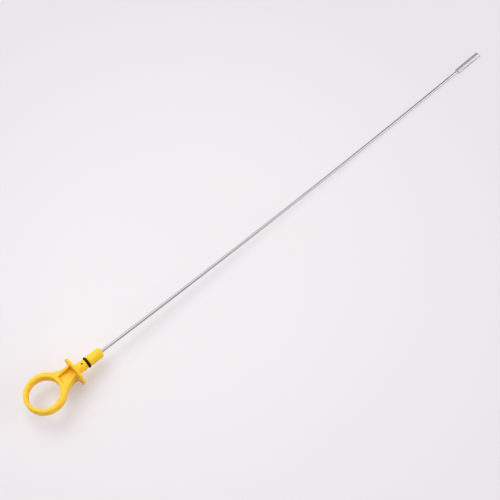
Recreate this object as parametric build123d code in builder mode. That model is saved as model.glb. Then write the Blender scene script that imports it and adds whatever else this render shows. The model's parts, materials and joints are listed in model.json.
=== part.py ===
from build123d import *

import os
from math import atan, cos, degrees, hypot, pi, radians, sin, sqrt, tan

# Engine oil dipstick: a moulded pull handle with a seal ring, on a bowed wire with a pressed blade.
# Millimetres, +Z up. It lies at rest on Z = 0, on the rim of its flange and on its blade.
# +X runs from the finger ring towards the blade, and the origin is under the middle of the whole length.

# Finger ring
ring_d = 34.4
ring_hole_d = 25.8  # clear finger hole
hole_offset = 0.9  # the hole sits this much further out, so the ring thickens towards the neck
limb_h = 8.2  # ring height, along the finger
edge_c = 1.0  # bevel of the ring and of the neck, at most a third of the ring's thinnest place

# Flange, which stops the stick in its tube
flange_d = 26.2
flange_t = 2.5
rim_c = 0.5  # bevel of the rim

# Neck between the ring and the flange
seat_to_ring = 30.0  # seat face of the flange to the centre of the ring
neck_w = 12.6  # at the flange
neck_h = 14.4  # where it ends, inside the flange
neck_bite = 2.2  # how far it runs into the ring
pocket_w = 7.8  # weight-saving pocket in the top and in the underside
pocket_wall = 3.2  # left between the pocket and the finger hole
pocket_r = 0.9  # plan corners of the pocket
web_t = 2.6  # left between the two pockets

# Stem, seal groove and nose, measured from the seat face of the flange
stem_d = 9.0
nose_d = 9.2
nose_c = 1.3  # bevel of the nose, which leads it into the tube
seal_at = 10.4  # middle of the groove
nose_end = 25.2
root_c = 0.5  # bevel where the stem meets the flange
seal_od = 10.2
seal_section = 2.0
seal_gap = 0.05  # between the seal ring and the floor of its groove
groove_side_gap = 0.2  # on each side of the seal ring
pin_mark_d = 1.5  # marks left by the mould pins that steady the wire
pin_mark_at = 6.2
pin_mark_depth = 2.2

# Wire, with its pressed blade and the hidden head that locks it in the moulding
wire_d = 2.8
exposed_len = 498.0  # nose to tip, along the wire
blade_w = 6.2
blade_len = 38.0
press_ramp = 3.0  # round wire to full flat
tip_r = 1.6  # plan corners of the tip
tip_c = 0.3  # bevel of the tip
min_mark = 10.5  # marks, measured from the tip
max_mark = 21.6
notch_w = 1.3
notch_depth = 0.7
head_d = 4.6
head_t = 1.2
head_cover = 1.0  # moulding left behind the head, in the flange
bow_lean = 25.0  # degrees from upright of the plane that the wire is bowed in

# Sizes that follow from those above
ring_r = ring_d / 2
hole_r = ring_hole_d / 2
thinnest = ring_r - hole_r - hole_offset  # ring at its free end
bevel = min(edge_c, thinnest / 3)
seal_mid_r = (seal_od - seal_section) / 2
groove_d = seal_od - 2 * seal_section - 2 * seal_gap
groove_w = seal_section + 2 * groove_side_gap
bow_len = exposed_len - blade_len
flat_len = blade_len - press_ramp
wire_back = nose_end + flange_t - head_cover  # back from the nose

# Blade thickness: pressing keeps the area of the section, which has round edges
corner_share = 1 - pi / 4
wire_area = pi / 4 * wire_d**2
blade_t = (blade_w - sqrt(blade_w**2 - 4 * corner_share * wire_area)) / (2 * corner_share)


# Rest: the stem slopes down to the blade, which lies flat on the ground
def bow_turn(slope):
    """Angle that the bowed wire turns through to come level again."""
    return atan(tan(slope) / cos(radians(bow_lean)))


def seat_height(slope):
    """Height of the centre of the seat face with the rim of the flange on the ground."""
    return flange_d / 2 * cos(slope) - rim_c * sin(slope)


def blade_height(slope):
    """Height of the underside of the blade, level with that of the wire, for a slope of the stem."""
    turn = bow_turn(slope)
    bow_r = bow_len / turn
    fall = bow_r * (sin(slope) * sin(turn) - cos(radians(bow_lean)) * cos(slope) * (1 - cos(turn)))
    return seat_height(slope) - nose_end * sin(slope) - fall - wire_d / 2


slope = flange_d / exposed_len / 2
for _ in range(8):
    slope += blade_height(slope) / (nose_end + bow_len / 2)

turn = bow_turn(slope)
bow_r = bow_len / turn

# Planes: the moulding's own plane, its upright middle plane and the plane of the bow
stem_dir = Vector(cos(slope), 0, -sin(slope))
ring_normal = Vector(sin(slope), 0, cos(slope))
side_dir = Vector(0, 1, 0)
bow_dir = ring_normal * cos(radians(bow_lean)) + side_dir * sin(radians(bow_lean))

blade_dir = stem_dir * cos(turn) + bow_dir * sin(turn)
bow_reach = stem_dir * (bow_r * sin(turn)) + bow_dir * (bow_r * (1 - cos(turn)))
tip_reach = (stem_dir * nose_end + bow_reach + blade_dir * blade_len).X
ring_reach = (seat_to_ring + ring_r) * cos(slope) + (limb_h / 2 - bevel) * sin(slope)
seat_centre = Vector((ring_reach - tip_reach) / 2, 0, seat_height(slope))

moulding = Plane(seat_centre, x_dir=stem_dir, z_dir=ring_normal)
upright = Plane(seat_centre, x_dir=stem_dir, z_dir=-side_dir)
nose_exit = seat_centre + stem_dir * nose_end
bow_plane = Plane(nose_exit, x_dir=stem_dir, z_dir=stem_dir.cross(bow_dir))
stem_axis = Axis(seat_centre, stem_dir)


# Gauge rod
def wire_section(plane):
    """Wire section in four arcs, which match the four sides of the blade section."""
    with BuildSketch(plane) as section:
        with BuildLine():
            for quarter in range(4):
                CenterArc((0, 0), wire_d / 2, 45 + 90 * quarter, 90)
        make_face()
    return section.sketch


def blade_section(plane):
    """Blade section: two flats and two round edges, with its underside where the wire's was."""
    reach = (blade_w - blade_t) / 2
    bottom = -wire_d / 2
    middle = bottom + blade_t / 2
    top = bottom + blade_t
    with BuildSketch(plane) as section:
        with BuildLine():
            Line((reach, top), (-reach, top))
            CenterArc((-reach, middle), blade_t / 2, 90, 180)
            Line((-reach, bottom), (reach, bottom))
            CenterArc((reach, middle), blade_t / 2, 270, 180)
        make_face()
    return section.sketch


with BuildPart() as gauge_rod:
    with BuildLine(bow_plane) as centre_line:
        Line((-wire_back, 0), (0, 0))
        JernArc((0, 0), (1, 0), bow_r, degrees(turn))
    path = centre_line.wire()
    wire_start = Plane(path @ 0, z_dir=stem_dir)
    with BuildSketch(wire_start):
        Circle(wire_d / 2)
    sweep(path=path)
    with BuildSketch(wire_start):
        Circle(head_d / 2)
    extrude(amount=head_t)
    blade_root = Plane(path @ 1, x_dir=Vector(0, 0, 1).cross(blade_dir), z_dir=blade_dir)
    blade_flat = blade_section(blade_root.offset(press_ramp))
    loft(sections=[wire_section(blade_root), blade_flat], ruled=True)
    extrude(blade_flat, amount=flat_len)
    tip = gauge_rod.faces().sort_by(Axis.X)[-1]
    chamfer(tip.edges(), tip_c)
    # Rounded corners of the tip, and the level marks: a notch in each edge of the blade
    with BuildSketch(Plane(path @ 1 + blade_dir * blade_len, x_dir=blade_dir, z_dir=(0, 0, 1))):
        for edge in (blade_w / 2, -blade_w / 2):
            with Locations((0, edge)):
                Rectangle(2 * tip_r, 2 * tip_r)
            with Locations((-tip_r, edge * (1 - 2 * tip_r / blade_w))):
                Circle(tip_r, mode=Mode.SUBTRACT)
            for mark in (min_mark, max_mark):
                notch_bottom = edge * (1 - 2 * notch_depth / blade_w)
                with BuildLine():
                    Polyline(
                        (-mark - notch_w / 2, edge),
                        (-mark, notch_bottom),
                        (-mark + notch_w / 2, edge),
                        close=True,
                    )
                make_face()
    extrude(amount=wire_d, both=True, mode=Mode.SUBTRACT)

gauge_rod.part.label = "gauge_rod"

# Finger ring of the handle
ring_x = -seat_to_ring

with BuildPart() as ring:
    with BuildSketch(moulding.offset(-limb_h / 2)):
        with Locations((ring_x, 0)):
            Circle(ring_r)
        with Locations((ring_x - hole_offset, 0)):
            Circle(hole_r, mode=Mode.SUBTRACT)
    extrude(amount=limb_h)
    chamfer(ring.edges().filter_by(GeomType.CIRCLE), bevel)

# Neck of the handle: plan and side outlines crossed
flange_back = -flange_t
neck_inside = -flange_t / 2  # the neck runs on into the flange
to_flange = flange_back - ring_x
flare_r = (to_flange**2 + (neck_w / 2) ** 2 - ring_r**2) / (2 * (ring_r - neck_w / 2))
touch = ring_r / (ring_r + flare_r)  # where the flare touches the ring
touch_x = ring_x + to_flange * touch
touch_y = (neck_w / 2 + flare_r) * touch
buried_r = ring_r - neck_bite  # the neck starts inside the ring's section
buried_x = ring_x + (touch_x - ring_x) * buried_r / ring_r
buried_y = touch_y * buried_r / ring_r

with BuildPart() as neck:
    with BuildSketch(moulding):
        with BuildLine():
            RadiusArc((ring_x + buried_r, 0), (buried_x, buried_y), -buried_r)
            Line((buried_x, buried_y), (touch_x, touch_y))
            RadiusArc((touch_x, touch_y), (flange_back, neck_w / 2), -flare_r)
            Polyline((flange_back, neck_w / 2), (neck_inside, neck_w / 2), (neck_inside, 0))
            mirror(about=Plane.XZ)
        make_face()
    extrude(amount=neck_h / 2, both=True)
    rise_x = ring_x + ring_r
    with BuildSketch(upright):
        with BuildLine():
            Polyline((ring_x, 0), (ring_x, limb_h / 2), (rise_x, limb_h / 2))
            TangentArc((rise_x, limb_h / 2), (neck_inside, neck_h / 2), tangent=(1, 0))
            Line((neck_inside, neck_h / 2), (neck_inside, 0))
            mirror(about=Plane.XZ)
        make_face()
    extrude(amount=ring_r, both=True, mode=Mode.INTERSECT)

    def is_rail(edge):
        """Long edges between the sides and the top or the underside, outside the ring."""
        place = moulding.to_local_coords(edge.center())
        off_ring = hypot(place.X - ring_x, place.Y) > ring_r
        return off_ring and abs(place.Y) > pocket_w / 2 and abs(place.Z) > limb_h / 2 - bevel

    chamfer(neck.edges().filter_by(is_rail), bevel)

# Handle: ring, neck, flange, stem and nose in one, moulded round the wire
with BuildPart() as handle:
    groove_start = seal_at - groove_w / 2
    groove_stop = seal_at + groove_w / 2
    with BuildSketch(moulding) as turned:
        with BuildLine():
            Polyline(
                (flange_back, 0),
                (flange_back, flange_d / 2),
                (0, flange_d / 2),
                (0, stem_d / 2),
                (groove_start, stem_d / 2),
                (groove_start, groove_d / 2),
                (groove_stop, groove_d / 2),
                (groove_stop, nose_d / 2),
                (nose_end, nose_d / 2),
                (nose_end, 0),
                close=True,
            )
        make_face()
        chamfer(turned.vertices().group_by(Axis.Y)[-1], rim_c)
        chamfer(turned.vertices().sort_by_distance((0, stem_d / 2))[0], root_c)
        chamfer(turned.vertices().sort_by_distance((nose_end, nose_d / 2))[0], nose_c)
    revolve(axis=stem_axis)
    add(ring.part)
    add(neck.part)
    # Top and underside alike: a pocket, which leaves two ribs and a web, and a pin mark
    pocket_x = ring_x - hole_offset + hole_r + pocket_wall
    for normal in (ring_normal, -ring_normal):
        middle = Plane(seat_centre, x_dir=stem_dir, z_dir=normal)
        with BuildSketch(middle.offset(web_t / 2)):
            with Locations(((pocket_x + flange_back) / 2, 0)):
                pocket = Rectangle(flange_back - pocket_x, pocket_w)
            fillet(pocket.vertices(), pocket_r)
        extrude(amount=neck_h, mode=Mode.SUBTRACT)
        with BuildSketch(middle.offset(stem_d / 2 - pin_mark_depth)):
            with Locations((pin_mark_at, 0)):
                Circle(pin_mark_d / 2)
        extrude(amount=stem_d, mode=Mode.SUBTRACT)
    add(gauge_rod.part, mode=Mode.SUBTRACT)

handle.part.label = "handle"

# Seal ring
with BuildPart() as seal_ring:
    with BuildSketch(moulding):
        with Locations((seal_at, seal_mid_r)):
            Circle(seal_section / 2)
    revolve(axis=stem_axis)

seal_ring.part.label = "seal_ring"

os.makedirs("parts", exist_ok=True)
export_step(handle.part, "parts/handle.step")
export_step(seal_ring.part, "parts/seal_ring.step")
export_step(gauge_rod.part, "parts/gauge_rod.step")
print(f"slope {degrees(slope):.3f} deg, bow radius {bow_r:.0f}, blade {blade_t:.3f} thick")
print(f"blade underside {blade_height(slope):.5f}, seat centre {seat_centre}")
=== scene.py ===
"""Engine oil dipstick: softened handle, fine gauge rod, their finishes and a pale studio. In metres."""

import json
from math import atan, cos, pi, radians, sin, sqrt, tan

import bmesh
import bpy
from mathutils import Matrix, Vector


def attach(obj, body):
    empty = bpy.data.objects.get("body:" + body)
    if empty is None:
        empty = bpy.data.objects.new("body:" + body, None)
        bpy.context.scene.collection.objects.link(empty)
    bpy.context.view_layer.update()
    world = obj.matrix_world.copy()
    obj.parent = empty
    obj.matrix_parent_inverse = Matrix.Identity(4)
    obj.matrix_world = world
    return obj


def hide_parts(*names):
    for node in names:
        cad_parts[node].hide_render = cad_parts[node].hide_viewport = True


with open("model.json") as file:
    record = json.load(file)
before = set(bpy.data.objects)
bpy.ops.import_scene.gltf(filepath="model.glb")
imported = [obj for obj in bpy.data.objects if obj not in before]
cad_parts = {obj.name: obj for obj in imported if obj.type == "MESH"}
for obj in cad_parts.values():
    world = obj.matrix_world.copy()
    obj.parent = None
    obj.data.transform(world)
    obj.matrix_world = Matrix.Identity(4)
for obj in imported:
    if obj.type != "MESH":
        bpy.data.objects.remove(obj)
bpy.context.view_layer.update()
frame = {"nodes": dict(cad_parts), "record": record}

MM = 0.001

# Gauge rod, as in the solid model
wire_d = 2.8 * MM
exposed_len = 498.0 * MM  # nose to tip, along the wire
blade_w = 6.2 * MM
blade_len = 38.0 * MM
press_ramp = 3.0 * MM  # round wire to full flat
tip_r = 1.6 * MM  # plan corners of the tip
tip_c = 0.3 * MM  # softened edge of the tip
marks = (10.5 * MM, 21.6 * MM)  # level marks, measured from the tip
notch_w = 1.3 * MM
notch_depth = 0.7 * MM
head_d = 4.6 * MM  # hidden in the flange
head_t = 1.2 * MM
head_cover = 1.0 * MM  # moulding left behind the head
flange_t = 2.5 * MM
nose_end = 25.2 * MM  # from the seat face of the flange
bow_lean = radians(25.0)  # from upright, of the plane that the wire is bowed in

# Blade thickness: pressing keeps the area of the section, which has round edges
corner_share = 1 - pi / 4
blade_t = (blade_w - sqrt(blade_w**2 - corner_share * pi * wire_d**2)) / (2 * corner_share)

# Gauge rod, detail of its skin
blade_crown = 0.22 * MM  # rise in the middle of the blade's top
flat_start = 3.3 * MM  # past the bow: a section that keeps the shading of the flat even
side_points = 12  # along each quarter of a section
bow_steps = 140
press_steps = 8
tip_steps = 12
sharp_angle = radians(30.0)  # a sharper edge is drawn crisp

# Handle: cells and passes that round its edges
weld_gap = 0.002 * MM
cell = 0.28 * MM
soft_passes = 9
soft_share = 0.5  # how far a pass moves a point towards its neighbours

# Finishes: patterns are laid out in millimetres, and depths are in metres
noise_span = (0.3, 0.7)  # most values of a noise lie in it

# Handle plastic, measured from the seat face
plastic_deep = (0.98, 0.560, 0.006)
plastic_light = (0.995, 0.598, 0.009)
plastic_roughness = (0.38, 0.50)
plastic_cloud_scale = 0.12
plastic_grain_scale = 3.0
plastic_grain_depth = 0.012 * MM
plastic_grain_share = 0.6
scatter_share = 0.35
scatter_radius = (1.0, 0.5, 0.1)  # red light goes furthest
scatter_depth = 2.5 * MM
mould_line = (0.04, 0.14)  # half widths, at its top and at its foot
mould_line_height = 0.05 * MM
pin_mark_at = 6.2
pin_shade_radii = (0.65, 0.95)  # painted shade inside the first radius, plain outside the second
pin_shade_rise = (0.0, 0.5)  # over the mould line: the shade is painted in the upper mark only
# colour of the shade painted into the pin mark's hole
pin_hole_painted_shade = (0.16, 0.05, 0.0)

# Seal rubber
rubber_deep = (0.030, 0.011, 0.003)
rubber_light = (0.042, 0.016, 0.004)
rubber_roughness = (0.48, 0.66)
rubber_gloss = 0.08
rubber_grain_scale = 4.0
rubber_grain_depth = 0.015 * MM

# Rod steel, measured from the nose
steel_deep = (0.50, 0.50, 0.505)
steel_light = (0.56, 0.56, 0.56)
steel_roughness = (0.05, 0.11)
pressed_roughness = 0.24  # added where the wire is pressed flat
steel_cloud_scale = 0.25
drawn_line = (40, 0.22, 0.22)  # length and thickness of the lines that drawing leaves
drawn_line_depth = 0.006 * MM

# Camera, aimed at a point on the floor
aim = Vector((-0.0530, -0.0067, 0.0))
camera_azimuth = radians(-132.29)
camera_elevation = radians(60.97)
camera_distance = 0.6815
focal_px = 751.9
frame_px = 500
sensor_w = 36.0  # millimetres

# Floor: its paper is laid out in millimetres
floor_half = 12.0  # metres
# Paper colour inside the painted pool of light, and outside it
floor_colour = (0.802, 0.770, 0.789)
floor_edge = (0.734, 0.701, 0.727)
light_pool_centre = Vector((-100, 30, 0))  # centre of a pool of light painted into the paper's colour
light_pool_fade = (110, 360)  # from there: where the painted light starts to fall off, and where it is gone
floor_roughness = 0.9
floor_gloss = 0.1
paper_cloud_scale = 0.02
paper_cloud_share = 0.04
glow_strength = 1.107
floor_glow = (0.28, 0.80)  # the floor's own light, as a share of its look: near the flange, and away from it
glow_reach = (60, 220)  # from the flange
far_floor = (400, 750)  # from the flange: past this the floor is all its own light, as the backdrop is

# Lamps, each placed from the aim
key_from = Vector((0.05, 1.15, 1.50))
key_size = (1.9, 1.6)
key_power = 5.4
key_spread = radians(80.0)  # gathers the light on the part
fill_from = Vector((0.75, -0.85, 0.30))
fill_size = (0.8, 0.5)
fill_power = 1.75
glint_from = Vector((1.15, 0.25, 0.82))  # mirrored in the flat of the blade
glint_size = (0.2, 0.3)
glint_power = 0.68

# Sky: a height is the rise of a direction of length 1
pale_edge = 0.90  # light of the sky where the floor ends
edge_heights = (0.05, 0.12)  # where the pale edge starts to end, and its end
edge_lift = 0.6  # takes the pale edge higher towards two corners
low_sky = 0.05
high_sky = 1.45
sky_heights = (0.40, 0.72)  # end of the low sky, and start of the high sky
sky_fall = 0.53  # darkens the sky towards both ends of the part
sky_turn = 0.30  # brightens it on the side of the key
side_glow = 2.8  # a broad soft light past the blade, on the camera's side
side_way = Vector((0.70, -0.62, 0.35))
side_edge = (0.88, 0.98)  # nearness to that way: edge of the light, and full light
side_heights = (0.20, 0.36)  # where the side light starts, and is full
backdrop_heights = (0.33, 0.42)  # where the backdrop starts to end, and its end


def mount(name):
    """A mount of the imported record: its place and its axis."""
    found = next(m for m in frame["record"]["mounts"] if m["name"] == name)
    return Vector(found["pos_m"]), Vector(found["axis"]).normalized()


# The handle's own frame: the stem points down to the blade, and the ring lies across its normal
stop_place, stem_dir = mount("tube_stop")
side_dir = Vector((0, 1, 0))
ring_normal = stem_dir.cross(side_dir)
seat_centre = stop_place - side_dir * stop_place.y
stem_slope = atan(-stem_dir.z / stem_dir.x)
nose_exit = seat_centre + stem_dir * nose_end

# The bow of the wire, which brings the blade level
bow_len = exposed_len - blade_len
bow_turn = atan(tan(stem_slope) / cos(bow_lean))
bow_r = bow_len / bow_turn
bow_dir = ring_normal * cos(bow_lean) + side_dir * sin(bow_lean)
blade_dir = stem_dir * cos(bow_turn) + bow_dir * sin(bow_turn)
bow_end = nose_exit + stem_dir * (bow_r * sin(bow_turn)) + bow_dir * (bow_r * (1 - cos(bow_turn)))


# Node helpers
def link(tree, source, target):
    """Joins an output to an input."""
    tree.links.new(source, target)


def compute(tree, operation, first, second=0.0):
    """Math node of two values, each a socket or a number."""
    node = tree.nodes.new("ShaderNodeMath")
    node.operation = operation
    for socket, value in zip(node.inputs, (first, second)):
        if isinstance(value, (int, float)):
            socket.default_value = value
        else:
            link(tree, value, socket)
    return node.outputs[0]


def measure(tree, operation, vector, other):
    """Vector node that gives one number, such as the distance between two places."""
    node = tree.nodes.new("ShaderNodeVectorMath")
    node.operation = operation
    node.inputs[1].default_value = other
    link(tree, vector, node.inputs[0])
    return node.outputs["Value"]


def axes(tree, vector):
    """The X, Y and Z of a vector."""
    node = tree.nodes.new("ShaderNodeSeparateXYZ")
    link(tree, vector, node.inputs[0])
    return node.outputs["X"], node.outputs["Y"], node.outputs["Z"]


def ramp(tree, value, span, result=(0, 1)):
    """Maps a value from a span to a result, clamped at both ends."""
    node = tree.nodes.new("ShaderNodeMapRange")
    node.inputs["From Min"].default_value = span[0]
    node.inputs["From Max"].default_value = span[1]
    node.inputs["To Min"].default_value = result[0]
    node.inputs["To Max"].default_value = result[1]
    link(tree, value, node.inputs["Value"])
    return node.outputs[0]


def blend_colours(tree, share, first, second):
    """Mix of two colours, each a socket or three numbers."""
    node = tree.nodes.new("ShaderNodeMix")
    node.data_type = "RGBA"
    for socket, colour in ((node.inputs["A"], first), (node.inputs["B"], second)):
        if isinstance(colour, tuple):
            socket.default_value = (*colour, 1)
        else:
            link(tree, colour, socket)
    link(tree, share, node.inputs["Factor"])
    return node.outputs["Result"]


def noise(tree, place, scale, detail=3.0, roughness=0.5):
    """Cloudy pattern with values from 0 to 1."""
    node = tree.nodes.new("ShaderNodeTexNoise")
    node.inputs["Scale"].default_value = scale
    node.inputs["Detail"].default_value = detail
    node.inputs["Roughness"].default_value = roughness
    link(tree, place, node.inputs["Vector"])
    return node.outputs["Fac"]


def bump(tree, height, depth, strength=1.0, under=None):
    """Normal of a fine relief, on top of another one where that is given."""
    node = tree.nodes.new("ShaderNodeBump")
    node.inputs["Distance"].default_value = depth
    node.inputs["Strength"].default_value = strength
    link(tree, height, node.inputs["Height"])
    if under is not None:
        link(tree, under, node.inputs["Normal"])
    return node.outputs["Normal"]


def seen_ray(tree):
    """1 on the rays that show a surface to the camera, by itself or in a mirror."""
    path = tree.nodes.new("ShaderNodeLightPath")
    seen = compute(tree, "MAXIMUM", path.outputs["Is Camera Ray"], path.outputs["Is Glossy Ray"])
    return compute(tree, "MAXIMUM", seen, path.outputs["Is Transmission Ray"])


def place_mm(tree, origin, rotation=(0, 0, 0), stretch=(1, 1, 1)):
    """Coordinates in millimetres in a frame with the given origin and rotation."""
    source = tree.nodes.new("ShaderNodeTexCoord")
    mapping = tree.nodes.new("ShaderNodeMapping")
    mapping.vector_type = "TEXTURE"
    mapping.inputs["Location"].default_value = origin
    mapping.inputs["Rotation"].default_value = rotation
    mapping.inputs["Scale"].default_value = [MM * s for s in stretch]
    link(tree, source.outputs["Object"], mapping.inputs["Vector"])
    return mapping.outputs["Vector"]


def new_material(name):
    """A material, its nodes and its main shader."""
    material = bpy.data.materials.new(name)
    material.use_nodes = True
    tree = material.node_tree
    return material, tree, tree.nodes["Principled BSDF"]


# Finishes
def handle_plastic():
    """Yellow moulded plastic: satin, with a fine grain, the mould's parting line and shade painted into the
    upper pin mark.
    """
    material, tree, shader = new_material("handle_plastic")
    place = place_mm(tree, seat_centre, (0, stem_slope, 0))
    along, across, rise = axes(tree, place)

    cloud = noise(tree, place, plastic_cloud_scale, detail=2.0)
    colour = blend_colours(tree, ramp(tree, cloud, noise_span), plastic_deep, plastic_light)
    # Shade painted into the hole of the upper pin mark
    past_pin = compute(tree, "SUBTRACT", along, pin_mark_at)
    along_square = compute(tree, "MULTIPLY", past_pin, past_pin)
    across_square = compute(tree, "MULTIPLY", across, across)
    off_pin = compute(tree, "SQRT", compute(tree, "ADD", along_square, across_square))
    pin_shade_disc = ramp(tree, off_pin, pin_shade_radii, (1, 0))
    pin_shade = compute(tree, "MULTIPLY", pin_shade_disc, ramp(tree, rise, pin_shade_rise))
    link(tree, blend_colours(tree, pin_shade, colour, pin_hole_painted_shade), shader.inputs["Base Color"])

    grain = noise(tree, place, plastic_grain_scale, detail=4.0, roughness=0.6)
    link(tree, ramp(tree, grain, noise_span, plastic_roughness), shader.inputs["Roughness"])
    seam = ramp(tree, compute(tree, "ABSOLUTE", rise), mould_line, (1, 0))
    seam_relief = bump(tree, seam, mould_line_height)
    relief = bump(tree, grain, plastic_grain_depth, plastic_grain_share, seam_relief)
    link(tree, relief, shader.inputs["Normal"])

    shader.inputs["Subsurface Weight"].default_value = scatter_share
    shader.inputs["Subsurface Radius"].default_value = scatter_radius
    shader.inputs["Subsurface Scale"].default_value = scatter_depth
    return material


def seal_rubber():
    """Black rubber with a faint sheen."""
    material, tree, shader = new_material("seal_rubber")
    place = place_mm(tree, seat_centre)
    grain = noise(tree, place, rubber_grain_scale, detail=4.0, roughness=0.6)
    link(tree, blend_colours(tree, grain, rubber_deep, rubber_light), shader.inputs["Base Color"])
    link(tree, ramp(tree, grain, noise_span, rubber_roughness), shader.inputs["Roughness"])
    link(tree, bump(tree, grain, rubber_grain_depth), shader.inputs["Normal"])
    shader.inputs["Specular IOR Level"].default_value = rubber_gloss
    return material


def rod_steel():
    """Bright drawn steel: fine lines along the wire, duller where it is pressed flat."""
    material, tree, shader = new_material("rod_steel")
    place = place_mm(tree, nose_exit)
    cloud = noise(tree, place, steel_cloud_scale)
    link(tree, blend_colours(tree, cloud, steel_deep, steel_light), shader.inputs["Base Color"])

    drawn = noise(tree, place_mm(tree, nose_exit, stretch=drawn_line), scale=1.0, roughness=0.6)
    wire_roughness = ramp(tree, drawn, noise_span, steel_roughness)
    along = axes(tree, place)[0]
    press_span = (bow_len / MM, (bow_len + press_ramp) / MM)
    pressed = ramp(tree, along, press_span, (0, pressed_roughness))
    link(tree, compute(tree, "ADD", wire_roughness, pressed), shader.inputs["Roughness"])
    link(tree, bump(tree, drawn, drawn_line_depth), shader.inputs["Normal"])
    shader.inputs["Metallic"].default_value = 1.0
    return material


def floor_paper():
    """Pale seamless paper with a pool of light painted into its colour; part of its look is its own even
    light.
    """
    material, tree, shader = new_material("floor_paper")
    place = place_mm(tree, (0, 0, 0))
    # A pool of light painted into the colour, with a faint random tone over it
    pool_falloff = ramp(tree, measure(tree, "DISTANCE", place, light_pool_centre), light_pool_fade)
    cloud = noise(tree, place, paper_cloud_scale, detail=2.0)
    pool_falloff_and_tone = compute(tree, "ADD", pool_falloff, compute(tree, "MULTIPLY", cloud, paper_cloud_share))
    colour = blend_colours(tree, pool_falloff_and_tone, floor_colour, floor_edge)
    link(tree, colour, shader.inputs["Base Color"])
    shader.inputs["Roughness"].default_value = floor_roughness
    shader.inputs["Specular IOR Level"].default_value = floor_gloss

    glow = tree.nodes.new("ShaderNodeEmission")
    link(tree, colour, glow.inputs["Color"])
    glow.inputs["Strength"].default_value = glow_strength
    away = measure(tree, "DISTANCE", place, seat_centre / MM)
    near_share = ramp(tree, away, glow_reach, floor_glow)
    glow_share = compute(tree, "MAXIMUM", near_share, ramp(tree, away, far_floor))
    mix = tree.nodes.new("ShaderNodeMixShader")
    link(tree, compute(tree, "MULTIPLY", seen_ray(tree), glow_share), mix.inputs[0])
    link(tree, shader.outputs[0], mix.inputs[1])
    link(tree, glow.outputs[0], mix.inputs[2])
    link(tree, mix.outputs[0], tree.nodes["Material Output"].inputs["Surface"])
    return material


# Pieces
def show(name, mesh, material, node):
    """A shown piece that stands for a node of the frame."""
    piece = bpy.data.objects.new(name, mesh)
    bpy.context.scene.collection.objects.link(piece)
    mesh.materials.clear()
    mesh.materials.append(material)
    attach(piece, "root")
    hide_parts(node)
    return piece


def soft_handle():
    """The handle with its bevels rounded over, as a mould leaves them."""
    mesh = frame["nodes"]["handle"].data.copy()
    piece = show("handle_body", mesh, handle_plastic(), "handle")
    weld = piece.modifiers.new("weld", "WELD")
    weld.merge_threshold = weld_gap
    cells = piece.modifiers.new("cells", "REMESH")
    cells.mode = "VOXEL"
    cells.voxel_size = cell
    cells.use_smooth_shade = True
    soft = piece.modifiers.new("soft", "SMOOTH")
    soft.factor = soft_share
    soft.iterations = soft_passes


def seal_ring():
    """The seal ring of the frame, which keeps its shape and gets its finish."""
    frame["nodes"]["seal_ring"].material_slots[0].material = seal_rubber()


def round_point(quarter, share, radius):
    """Point on a round section, by its quarter and the share of it."""
    angle = pi / 4 + pi / 2 * (quarter + share)
    return Vector((cos(angle), sin(angle))) * radius


def blade_point(quarter, share, inset):
    """Point on the blade's section: round edges, a crowned top, and its underside level with the wire's."""
    reach = (blade_w - blade_t) / 2
    middle = (blade_t - wire_d) / 2
    half = blade_t / 2 - inset
    if quarter == 0:
        across = 1 - 2 * share
        return Vector((reach * across, middle + half + blade_crown * (1 - across**2)))
    if quarter == 2:
        return Vector((reach * (2 * share - 1), middle - half))
    start = pi / 2 if quarter == 1 else -pi / 2
    centre = -reach if quarter == 1 else reach
    angle = start + pi * share
    return Vector((centre + half * cos(angle), middle + half * sin(angle)))


def section(flat_share=0.0, radius=wire_d / 2, inset=0.0, half_limit=blade_w):
    """Outline of the rod between round and flat, cut off at half_limit on both sides."""
    points = []
    for quarter in range(4):
        for step in range(side_points):
            share = step / side_points
            point = round_point(quarter, share, radius).lerp(blade_point(quarter, share, inset), flat_share)
            point.x = max(-half_limit, min(half_limit, point.x))
            points.append(point)
    return points


def rod_place(along):
    """Point and direction of the rod's centre line, by the distance from the nose."""
    if along < 0:
        return nose_exit + stem_dir * along, stem_dir
    if along > bow_len:
        return bow_end + blade_dir * (along - bow_len), blade_dir
    angle = along / bow_r
    point = nose_exit + stem_dir * (bow_r * sin(angle)) + bow_dir * (bow_r * (1 - cos(angle)))
    return point, stem_dir * cos(angle) + bow_dir * sin(angle)


def rod_sections():
    """Sections from the hidden head to the tip, as pairs of a distance and an outline."""
    # The hidden head, and the round wire along the bow
    head_back = -(nose_end + flange_t - head_cover)
    head_front = head_back + head_t
    rows = [(head_back, section(radius=head_d / 2)), (head_front, section(radius=head_d / 2))]
    rows.append((head_front, section()))
    for step in range(bow_steps + 1):
        rows.append((bow_len * step / bow_steps, section()))

    # The ramp to the flat, and the level marks of the blade
    for step in range(1, press_steps + 1):
        share = step / press_steps
        rows.append((bow_len + press_ramp * share, section(share)))
    rows.append((bow_len + flat_start, section(1)))
    for mark in sorted(marks, reverse=True):
        for stop in (mark + notch_w / 2, mark, mark - notch_w / 2):
            cut = notch_depth if stop == mark else 0.0
            rows.append((exposed_len - stop, section(1, half_limit=blade_w / 2 - cut)))

    # The rounded tip
    for step in range(tip_steps + 1):
        angle = pi / 2 * step / tip_steps
        to_end = tip_r * (1 - sin(angle))
        edge = max(tip_c - to_end, 0)
        inset = tip_c - sqrt(tip_c**2 - edge**2)
        half = blade_w / 2 - tip_r * (1 - cos(angle)) - inset
        rows.append((exposed_len - to_end, section(1, inset=inset, half_limit=half)))
    return rows


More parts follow.
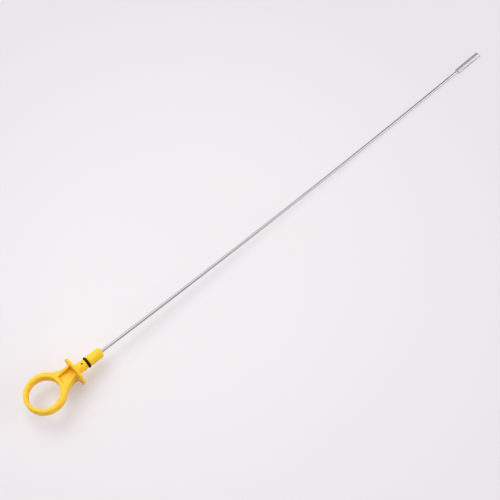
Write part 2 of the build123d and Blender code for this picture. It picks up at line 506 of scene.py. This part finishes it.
def gauge_rod():
    """The rod as one closed skin: its sections, set along the centre line and joined."""
    skin = bmesh.new()
    loops = []
    for along, outline in rod_sections():
        place, heading = rod_place(along)
        across = Vector((0, 0, 1)).cross(heading).normalized()
        up = heading.cross(across)
        loops.append([skin.verts.new(place + across * p.x + up * p.y) for p in outline])
    for first, second in zip(loops, loops[1:]):
        for here in range(len(first)):
            after = (here + 1) % len(first)
            skin.faces.new((first[here], first[after], second[after], second[here]))
    skin.faces.new(reversed(loops[0]))
    skin.faces.new(loops[-1])
    bmesh.ops.recalc_face_normals(skin, faces=skin.faces)
    mesh = bpy.data.meshes.new("gauge_rod_skin")
    skin.to_mesh(mesh)
    skin.free()
    mesh.shade_smooth()
    mesh.set_sharp_from_angle(angle=sharp_angle)
    show("gauge_rod_skin", mesh, rod_steel(), "gauge_rod")


# Studio: floor, light and camera
def paper_floor():
    """Flat floor that reaches far past the view."""
    mesh = bpy.data.meshes.new("floor")
    corners = [(x * floor_half, y * floor_half, 0) for x, y in ((-1, -1), (1, -1), (1, 1), (-1, 1))]
    mesh.from_pydata(corners, [], [(0, 1, 2, 3)])
    mesh.materials.append(floor_paper())
    floor = bpy.data.objects.new("floor", mesh)
    bpy.context.scene.collection.objects.link(floor)


def soft_box(name, offset, size, power, spread=pi, mirrored=False):
    """Lamp that faces the aim, and shows in shiny surfaces only where it is mirrored."""
    lamp = bpy.data.lights.new(name, "AREA")
    lamp.shape = "RECTANGLE"
    lamp.size, lamp.size_y = size
    lamp.energy = power
    lamp.spread = spread
    box = bpy.data.objects.new(name, lamp)
    box.location = aim + offset
    box.rotation_euler = (-offset).to_track_quat("-Z", "Y").to_euler()
    box.visible_glossy = mirrored
    bpy.context.scene.collection.objects.link(box)


def studio_sky():
    """Light from the sky, with a plain pale backdrop low down for the rays that are seen."""
    world = bpy.data.worlds.new("studio")
    world.use_nodes = True
    tree = world.node_tree
    way = tree.nodes.new("ShaderNodeTexCoord").outputs["Generated"]
    along, back, rise = axes(tree, way)

    # A pale edge where the floor ends
    corner = compute(tree, "MULTIPLY", compute(tree, "MULTIPLY", along, back), edge_lift)
    edge_rise = compute(tree, "MINIMUM", compute(tree, "ADD", corner, rise), rise)
    edge = ramp(tree, edge_rise, edge_heights, (pale_edge, 0))

    # The sky itself, dark low down and bright over the middle of the part
    to_ends = compute(tree, "MULTIPLY", compute(tree, "ABSOLUTE", along), -sky_fall)
    to_key = compute(tree, "MULTIPLY", back, sky_turn)
    sky_rise = compute(tree, "ADD", compute(tree, "ADD", to_ends, to_key), rise)
    sky = ramp(tree, sky_rise, sky_heights, (low_sky, high_sky))

    # The side light, which stands in front of the backdrop
    side_disc = ramp(tree, measure(tree, "DOT_PRODUCT", way, side_way), side_edge)
    side_share = compute(tree, "MULTIPLY", side_disc, ramp(tree, rise, side_heights))
    side = compute(tree, "MULTIPLY", side_share, side_glow)
    light = compute(tree, "MAXIMUM", compute(tree, "MAXIMUM", edge, sky), side)

    # The backdrop, as pale as the far floor
    low_share = compute(tree, "MULTIPLY", seen_ray(tree), ramp(tree, rise, backdrop_heights, (1, 0)))
    backdrop = compute(tree, "MULTIPLY", low_share, compute(tree, "SUBTRACT", 1.0, side_share))
    pale = tuple(c * glow_strength for c in floor_edge)
    link(tree, blend_colours(tree, backdrop, light, pale), tree.nodes["Background"].inputs["Color"])
    bpy.context.scene.world = world


def photo_camera():
    """Camera that looks at the aim from the photo's side and height."""
    data = bpy.data.cameras.new("camera")
    data.sensor_fit = "HORIZONTAL"
    data.sensor_width = sensor_w
    data.lens = focal_px / frame_px * sensor_w
    camera = bpy.data.objects.new("camera", data)
    level = cos(camera_elevation)
    back = Vector((cos(camera_azimuth) * level, sin(camera_azimuth) * level, sin(camera_elevation)))
    camera.location = aim + back * camera_distance
    camera.rotation_euler = (-back).to_track_quat("-Z", "Y").to_euler()
    bpy.context.scene.collection.objects.link(camera)
    bpy.context.scene.camera = camera


soft_handle()
gauge_rod()
seal_ring()
paper_floor()
soft_box("key", key_from, key_size, key_power, key_spread)
soft_box("fill", fill_from, fill_size, fill_power)
soft_box("glint", glint_from, glint_size, glint_power, mirrored=True)
studio_sky()
photo_camera()
bpy.context.scene.view_settings.view_transform = "Standard"
